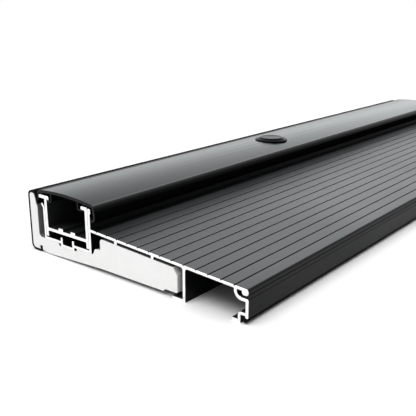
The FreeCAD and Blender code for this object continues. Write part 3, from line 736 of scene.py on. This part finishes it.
def painted_sheen_plastic(colour, top, reach):
    """Plastic of the cap's front rounding, with a painted sheen: a painted highlight that fades into
    painted shade down the lip from a height.
    """
    finish = Finish("Cap shoulder plastic", colour, roughness=0.2)
    down = finish.between(finish.along("Z"), 0.0, 1.0, (top, top - reach))
    fade = finish.nodes.new("ShaderNodeValToRGB")
    stops = fade.color_ramp.elements
    stops.remove(stops[1])
    stops[0].color = (CAP_SHEEN, CAP_SHEEN, CAP_SHEEN, 1.0)
    for share, sheen in SHOULDER_PAINTED_SHEEN:
        stops.new(share).color = (sheen, sheen, sheen, 1.0)
    finish.links.new(down, fade.inputs["Fac"])
    finish.links.new(fade.outputs["Color"], finish.shader.inputs["Specular IOR Level"])
    grain = finish.noise(3200.0, detail=1.0)
    finish.roughen(grain, 0.18, 0.22)
    finish.relief((grain, 6))
    return finish.material


def sawn_plastic(name, colour):
    """Sawn end of a black plastic, a little paler and rougher than its skin."""
    finish = Finish(name, colour, roughness=0.5, gloss=0.1)
    lines = finish.noise(1.0, detail=3.0, vector=finish.stretched((1.0, 700.0, 6000.0)))
    finish.tint(lines, shaded(colour, 0.7), shaded(colour, 1.4))
    finish.relief((lines, 20))
    return finish.material


def skin_plastic(colour):
    """Black skin of the inner cover."""
    finish = Finish("Cover plastic", colour, roughness=0.55, gloss=MATT_SHEEN)
    grain = finish.noise(2200.0, detail=2.0)
    patches = finish.noise(20.0)
    finish.roughen(patches, 0.5, 0.6)
    finish.relief((grain, 10))
    return finish.material


def block_skin(name, colour):
    """Smooth skin of the foamed block."""
    finish = Finish(name, colour, roughness=0.6)
    patches = finish.noise(60.0, detail=4.0)
    dimples = finish.noise(900.0, detail=3.0)
    finish.tint(patches, shaded(colour, 0.96), shaded(colour, 1.03))
    finish.relief((dimples, 40))
    return finish.material


def block_cut(colour):
    """Sawn end of the foamed block, with its fine closed cells."""
    finish = Finish("Block cut end", colour, roughness=0.85)
    cells = finish.cells(1300.0)
    patches = finish.noise(160.0, detail=5.0)
    finish.tint(patches, shaded(colour, 0.985), shaded(colour, 1.01))
    finish.relief((cells, 40))
    return finish.material


def plug_plastic(colour):
    """Moulded black plastic of the plug."""
    finish = Finish("Plug plastic", colour, roughness=0.25, gloss=0.009)
    grain = finish.noise(3000.0, detail=2.0)
    finish.roughen(grain, 0.22, 0.28)
    finish.relief((grain, 8))
    return finish.material


def turned_metal(name, colour, roughness):
    """Metal with the fine rings that a lathe leaves."""
    finish = Finish(name, colour, roughness, metallic=1.0)
    rings = finish.noise(1.0, detail=2.0, vector=finish.stretched((60.0, 60.0, 9000.0)))
    finish.tint(rings, shaded(colour, 0.85), shaded(colour, 1.05))
    finish.roughen(rings, roughness - 0.06, roughness + 0.08)
    finish.relief((rings, 6))
    return finish.material


def seal_rubber(colour):
    """Matt black rubber."""
    finish = Finish("Seal rubber", colour, roughness=0.7, gloss=0.04)
    grain = finish.noise(1800.0, detail=3.0)
    finish.tint(grain, shaded(colour, 0.8), shaded(colour, 1.3))
    finish.relief((grain, 20))
    return finish.material


def strip_plastic(colour):
    """Smooth dark plastic of the nosing strip, in the tone of the coating."""
    finish = Finish("Strip plastic", colour, roughness=0.43, gloss=0.1)
    grain = finish.noise(2400.0, detail=2.0)
    lines = finish.noise(1.0, detail=2.0, vector=finish.stretched((4.0, 700.0, 700.0)))
    finish.roughen(lines, 0.4, 0.46)
    finish.relief((grain, 10), (lines, 4))
    return finish.material


# Pieces


class THRESHOLD_OT_block(bpy.types.Operator):
    """Build the foamed block that carries the threshold"""

    bl_idname = "threshold.block"
    bl_label = "Block"

    def execute(self, context):
        mesh = sawn_length("substrate", sizes().block_edge_break)
        # Painted shade and painted light: the skin is painted dark for the shade in the gutters, and the
        # nose beside the leg gets a pale copy of it
        skin = block_skin("Block skin", colours().block)
        nose = block_skin("Block nose skin", colours().lit_block_nose)
        materials = [skin, block_cut(colours().cut_block), nose]
        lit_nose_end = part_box("substrate")[0].y + sizes().lit_nose_reach
        for face in mesh.faces:
            if face.material_index == LONG and face.calc_center_median().y < lit_nose_end:
                face.material_index = PAINTED_LIGHT
        block = finished_object("foamed_block", mesh, "sill", materials)
        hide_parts("substrate")
        return {"FINISHED"}


class THRESHOLD_OT_cover(bpy.types.Operator):
    """Build the black skin round the inner side of the block"""

    bl_idname = "threshold.cover"
    bl_label = "Inner cover"

    def execute(self, context):
        mesh = sawn_length("inner_cover", sizes().plastic_edge_break)
        materials = [skin_plastic(colours().cover), sawn_plastic("Cover cut end", colours().cover)]
        cover = finished_object("cover_skin", mesh, "sill", materials)
        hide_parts("inner_cover")
        return {"FINISHED"}


class THRESHOLD_OT_deck(bpy.types.Operator):
    """Build the coated aluminium sill deck"""

    bl_idname = "threshold.deck"
    bl_label = "Sill deck"

    def execute(self, context):
        mesh = sawn_length("sill_deck", sizes().edge_break)
        coating = coated_aluminium("Anthracite coating", colours().coating, roughness=0.43, gloss=0.1)
        lit_tread = coated_aluminium("Tread coating", colours().lit_tread, roughness=0.43, gloss=0.12)
        materials = [coating, bare_aluminium(colours().cut_metal), lit_tread]
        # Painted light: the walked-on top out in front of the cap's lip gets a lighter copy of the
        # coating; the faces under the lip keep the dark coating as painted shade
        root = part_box("cap_cover")[0].y
        mesh.normal_update()
        for face in mesh.faces:
            clear_of_lip_shade = face.calc_center_median().y < root
            if face.material_index == LONG and face.normal.z > LIT_TOP_UPWARD and clear_of_lip_shade:
                face.material_index = PAINTED_LIGHT
        deck = finished_object("deck_extrusion", mesh, "sill", materials)
        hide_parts("sill_deck")
        return {"FINISHED"}


class THRESHOLD_OT_rail(bpy.types.Operator):
    """Build the rail that slides in the tray, with the hole for the insert"""

    bl_idname = "threshold.rail"
    bl_label = "Riser rail"

    def execute(self, context):
        mesh = sawn_length("riser_rail", sizes().edge_break)
        coating = coated_aluminium("Rail coating", colours().rail, roughness=0.4, gloss=0.3)
        materials = [coating, bare_aluminium(colours().cut_metal)]
        rail = finished_object("rail_extrusion", mesh, "riser", materials)
        low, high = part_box("screw_insert")
        radius = sizes().insert_barrel + sizes().insert_clearance
        hole = circle_points((low + high) / 2, radius, sizes().around)
        cut_away(rail, prism(hole, low.z - CUT_THROUGH, high.z + CUT_THROUGH))
        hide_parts("riser_rail")
        return {"FINISHED"}


class THRESHOLD_OT_cap(bpy.types.Operator):
    """Build the arched cap, with the hole for the plug"""

    bl_idname = "threshold.cap"
    bl_label = "Arched cap"

    def execute(self, context):
        size = sizes()
        mesh = sawn_length("cap_cover", size.cap_edge_break, edge_slot=LONG)
        low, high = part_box("cap_cover")
        # Faces along the front rounding get the painted sheen
        sheen_band_end = low.y + size.cap_sheen_band
        for face in mesh.faces:
            if face.material_index == LONG and face.calc_center_median().y < sheen_band_end:
                face.material_index = PAINTED_LIGHT
        materials = [
            arched_plastic_with_shade_band(colours().cap, high.y - size.cap_shade_band, size.cap_shade_band_blend),
            sawn_plastic("Cap cut end", colours().cut_cap),
            painted_sheen_plastic(colours().cap, high.z - size.cap_front_drop, size.cap_sheen_fade),
        ]
        cap = finished_object("arched_cap", mesh, "riser", materials)
        low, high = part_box("adjuster_plug")
        radius = size.plug_stem_radius + size.plug_clearance
        hole = circle_points((low + high) / 2, radius, size.around)
        cut_away(cap, prism(hole, low.z, high.z + CUT_THROUGH))
        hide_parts("cap_cover")
        return {"FINISHED"}


class THRESHOLD_OT_plug(bpy.types.Operator):
    """Build the plug over the adjusting screw, with its slit snap stem"""

    bl_idname = "threshold.plug"
    bl_label = "Adjuster plug"

    def execute(self, context):
        size = sizes()
        low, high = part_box("adjuster_plug")
        middle = (low + high) / 2
        arch_centre, arch_radius = widest_arc(cut_section("cap_cover")[0])

        def arch(y):
            """Height of the cap's arched top at a place across it."""
            return arch_centre.y + math.sqrt(arch_radius**2 - (y - arch_centre.x) ** 2)

        seat = arch(middle.y)
        base = (high.x - low.x) / 2
        stem = size.plug_stem_radius
        bead = stem + size.plug_snap
        snap_top = seat - size.plug_grip
        flat = high.z - size.plug_sink
        rim = seat + size.plug_rim
        ring = size.plug_top_radius - size.plug_ring
        top = rounded(
            [
                (0.0, flat - size.plug_dish),
                (ring - size.plug_dish_slope, flat - size.plug_dish),
                (ring, flat, size.plug_round),
                (size.plug_top_radius, flat, size.plug_round),
                (size.plug_top_radius + size.plug_neck, rim + size.plug_flare, size.plug_neck),
                (base, rim, size.plug_round / 2),
                (base, seat),
            ]
        )
        below = rounded(
            [
                (stem, snap_top),
                (bead, snap_top - size.plug_bead_slope, size.plug_bead_round),
                (bead, snap_top - size.plug_bead, size.plug_bead_round),
                (stem - size.plug_snap, low.z),
                (stem - size.plug_wall, low.z),
                (stem - size.plug_wall, seat - size.plug_wall / 2, size.plug_wall_round),
                (0.0, seat - size.plug_wall / 2),
            ]
        )
        line = top + [(stem, seat)] + below

        def on_arch(y, level):
            """The seat follows the arch, the flat top is level, and the flare between them blends."""
            if seat <= level < flat:
                return level + (arch(y) - seat) * (flat - level) / (flat - seat)
            return level

        mesh = turned_mesh(middle, line, size.around, on_arch)
        plug = finished_object("plug_button", mesh, "riser", [plug_plastic(colours().plug)])
        reach = bead + CUT_THROUGH
        half = size.plug_slit / 2
        arm = [(half, half), (half, reach), (-half, reach)]
        slits = []
        for _ in range(4):
            slits += [(middle.x + x, middle.y + y) for x, y in arm]
            arm = [(-y, x) for x, y in arm]
        cut_away(plug, prism(slits, low.z - CUT_THROUGH, snap_top))
        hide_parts("adjuster_plug")
        return {"FINISHED"}


class THRESHOLD_OT_screw(bpy.types.Operator):
    """Build the adjusting screw with its thread and hex socket"""

    bl_idname = "threshold.screw"
    bl_label = "Adjusting screw"

    def execute(self, context):
        size = sizes()
        low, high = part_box("adjusting_screw")
        middle = (low + high) / 2
        foot = (high.x - low.x) / 2
        shank = low.z + size.screw_foot
        chamfer = size.screw_chamfer
        rise = size.thread_pitch / THREAD_STEPS
        steps = round((high.z - shank - size.thread_end) / rise)
        tip = size.thread_radius - size.thread_depth - size.tip_relief
        hex_radius = size.hex_across_flats / math.sqrt(3)
        hex_floor = high.z - size.hex_depth
        line = [
            (0.0, low.z),
            (foot - chamfer, low.z),
            (foot, low.z + chamfer),
            (foot, shank - chamfer),
            (foot - chamfer, shank),
        ]
        line += [(size.thread_radius, shank + step * rise) for step in range(steps + 1)]
        line += [
            (tip, high.z),
            (hex_radius + size.hex_chamfer, high.z),
            (hex_radius, high.z - size.hex_chamfer),
            (hex_radius, hex_floor),
            (0.0, hex_floor - size.hex_cone),
        ]
        mesh = turned_mesh(middle, line, size.screw_around)
        socket_reach = (hex_radius + tip) / 2
        for vert in mesh.verts:
            across = (vert.co - middle).xy
            angle = math.atan2(across.y, across.x)
            in_socket = across.length < socket_reach and vert.co.z > hex_floor - SAME_PLACE
            if abs(across.length - size.thread_radius) < SAME_PLACE:
                phase = ((vert.co.z - shank) / size.thread_pitch - angle / (2 * math.pi)) % 1.0
                share = max(0.0, abs(2 * phase - 1) * THREAD_SLOPE - THREAD_CREST)
                across *= (size.thread_radius - min(share, 1.0) * size.thread_depth) / across.length
            elif in_socket:
                turn = (angle % (math.pi / 3)) - math.pi / 6
                across *= math.cos(math.pi / 6) / math.cos(turn)
            vert.co.xy = middle.xy + across
        steel = turned_metal("Turned steel", colours().steel, roughness=0.32)
        screw = finished_object("threaded_screw", mesh, "adjuster", [steel])
        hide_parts("adjusting_screw")
        return {"FINISHED"}


class THRESHOLD_OT_insert(bpy.types.Operator):
    """Build the flanged insert that the screw turns in"""

    bl_idname = "threshold.insert"
    bl_label = "Screw insert"

    def execute(self, context):
        size = sizes()
        low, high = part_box("screw_insert")
        middle = (low + high) / 2
        flange = (high.x - low.x) / 2
        bore = size.insert_bore
        barrel = size.insert_barrel
        chamfer = size.insert_chamfer
        line = rounded(
            [
                (bore + chamfer, low.z),
                (flange, low.z, size.flange_round),
                (flange, low.z + size.insert_flange, chamfer),
                (barrel, low.z + size.insert_flange),
                (barrel, high.z, size.barrel_round),
                (bore + chamfer, high.z),
                (bore, high.z - chamfer),
                (bore, low.z + chamfer),
            ]
        )
        mesh = turned_mesh(middle, line, size.around)
        brass = turned_metal("Turned brass", colours().brass, roughness=0.3)
        insert = finished_object("brass_insert", mesh, "riser", [brass])
        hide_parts("screw_insert")
        return {"FINISHED"}


class THRESHOLD_OT_seal(bpy.types.Operator):
    """Build the rubber seal under the fascia"""

    bl_idname = "threshold.seal"
    bl_label = "Bottom seal"

    def execute(self, context):
        mesh = sawn_length("bottom_seal", sizes().plastic_edge_break)
        rubber = seal_rubber(colours().rubber)
        seal = finished_object("seal_strip", mesh, "sill", [rubber, rubber])
        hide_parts("bottom_seal")
        return {"FINISHED"}


class THRESHOLD_OT_strip(bpy.types.Operator):
    """Build the strip in the mouth of the nosing slot"""

    bl_idname = "threshold.strip"
    bl_label = "Nosing strip"

    def execute(self, context):
        mesh = sawn_length("nosing_strip", sizes().strip_edge_break)
        materials = [strip_plastic(colours().strip), sawn_plastic("Strip cut end", colours().strip)]
        strip = finished_object("mouth_strip", mesh, "sill", materials)
        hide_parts("nosing_strip")
        return {"FINISHED"}


class THRESHOLD_OT_stage(bpy.types.Operator):
    """Set up the floor, the surroundings, the lights and the camera"""

    bl_idname = "threshold.stage"
    bl_label = "Stage"

    def execute(self, context):
        stage = context.scene.threshold_stage
        scene = context.scene
        scene.view_settings.view_transform = "Standard"
        self.floor(stage)
        self.surroundings(scene, stage)
        self.wide_light("top_light", TOP_LIGHT_FROM, TOP_LIGHT_SPREAD, stage.top_level)
        self.wide_light("front_light", FRONT_LIGHT_FROM, FRONT_LIGHT_SPREAD, stage.front_level)
        self.key_light(stage)
        self.camera(scene, stage)
        return {"FINISHED"}

    def floor(self, stage):
        """White floor that keeps the threshold's shadow."""
        mesh = bmesh.new()
        bmesh.ops.create_grid(mesh, x_segments=8, y_segments=8, size=stage.floor_reach)
        floor = mesh_object("floor", mesh)
        finish = Finish("Floor", stage.floor_colour, roughness=0.9, gloss=0.0)
        floor.data.materials.append(finish.material)

    def surroundings(self, scene, stage):
        """World that looks white to the camera and in reflections and lights the rest plainly."""
        world = bpy.data.worlds.new("White surroundings")
        scene.world = world
        world.use_nodes = True
        nodes = world.node_tree.nodes
        links = world.node_tree.links
        background = nodes["Background"]
        background.inputs["Color"].default_value = (1.0, 1.0, 1.0, 1.0)
        path = nodes.new("ShaderNodeLightPath")
        seen = nodes.new("ShaderNodeMath")
        seen.operation = "MAXIMUM"
        links.new(path.outputs["Is Camera Ray"], seen.inputs[0])
        links.new(path.outputs["Is Glossy Ray"], seen.inputs[1])
        through = nodes.new("ShaderNodeMath")
        through.operation = "MAXIMUM"
        links.new(seen.outputs[0], through.inputs[0])
        links.new(path.outputs["Is Transmission Ray"], through.inputs[1])
        level = nodes.new("ShaderNodeMapRange")
        level.inputs["To Min"].default_value = stage.sky_level
        level.inputs["To Max"].default_value = 1.0
        links.new(through.outputs[0], level.inputs["Value"])
        links.new(level.outputs["Result"], background.inputs["Strength"])

    def wide_light(self, name, direction, spread, level):
        """Distant soft light from a direction; a level of 1 lights a facing white surface to white."""
        lamp = bpy.data.lights.new(name, "SUN")
        lamp.angle = spread
        lamp.energy = math.pi * level
        light = new_object(name, lamp)
        light.rotation_euler = Vector(direction).to_track_quat("Z", "Y").to_euler()

    def key_light(self, stage):
        """Square light behind the threshold, only seen in the sheen that the tops show the camera."""
        lamp = bpy.data.lights.new("key_light", "AREA")
        lamp.shape = "SQUARE"
        lamp.size = KEY_LIGHT_SIDE
        lamp.energy = stage.key_power
        lamp.color = stage.key_colour
        light = new_object("key_light", lamp)
        light.location = KEY_LIGHT_PLACE
        light.visible_diffuse = False
        light.rotation_euler = Vector(KEY_LIGHT_PLACE).to_track_quat("Z", "Y").to_euler()

    def camera(self, scene, stage):
        """Camera at the photograph's viewing angle."""
        data = bpy.data.cameras.new("camera")
        data.sensor_width = SENSOR_WIDTH
        data.sensor_fit = "HORIZONTAL"
        data.lens = stage.lens
        data.clip_start, data.clip_end = CAMERA_RANGE
        camera = new_object("camera", data)
        camera.location = stage.camera_place
        camera.rotation_euler = Euler((math.pi / 2 - stage.camera_pitch, 0.0, stage.camera_heading), "XYZ")
        scene.camera = camera


class THRESHOLD_PT_panel(bpy.types.Panel):
    """Sidebar panel with the pieces, sizes and colours"""

    bl_idname = "THRESHOLD_PT_panel"
    bl_label = "Door threshold"
    bl_space_type = "VIEW_3D"
    bl_region_type = "UI"
    bl_category = "Threshold"

    def draw(self, context):
        scene = context.scene
        for operator in OPERATORS:
            self.layout.operator(operator.bl_idname)
        for title, group in (
            ("Sizes", scene.threshold_sizes),
            ("Colours", scene.threshold_colours),
            ("Stage", scene.threshold_stage),
        ):
            box = self.layout.box()
            box.label(text=title)
            for name in group.__annotations__:
                box.prop(group, name)


OPERATORS = (
    THRESHOLD_OT_stage,
    THRESHOLD_OT_block,
    THRESHOLD_OT_cover,
    THRESHOLD_OT_deck,
    THRESHOLD_OT_rail,
    THRESHOLD_OT_cap,
    THRESHOLD_OT_plug,
    THRESHOLD_OT_screw,
    THRESHOLD_OT_insert,
    THRESHOLD_OT_seal,
    THRESHOLD_OT_strip,
)
GROUPS = (ThresholdSizes, ThresholdColours, ThresholdStage)


def register():
    """Adds the classes, and the settings that every scene then has."""
    for item in GROUPS + OPERATORS + (THRESHOLD_PT_panel,):
        bpy.utils.register_class(item)
    bpy.types.Scene.threshold_sizes = PointerProperty(type=ThresholdSizes)
    bpy.types.Scene.threshold_colours = PointerProperty(type=ThresholdColours)
    bpy.types.Scene.threshold_stage = PointerProperty(type=ThresholdStage)


def unregister():
    """Takes the settings and the classes away again."""
    del bpy.types.Scene.threshold_stage
    del bpy.types.Scene.threshold_colours
    del bpy.types.Scene.threshold_sizes
    for item in reversed(GROUPS + OPERATORS + (THRESHOLD_PT_panel,)):
        bpy.utils.unregister_class(item)


def main():
    register()
    bpy.ops.threshold.stage()
    bpy.ops.threshold.block()
    bpy.ops.threshold.cover()
    bpy.ops.threshold.deck()
    bpy.ops.threshold.rail()
    bpy.ops.threshold.cap()
    bpy.ops.threshold.plug()
    bpy.ops.threshold.screw()
    bpy.ops.threshold.insert()
    bpy.ops.threshold.seal()
    bpy.ops.threshold.strip()


if __name__ == "__main__":
    main()
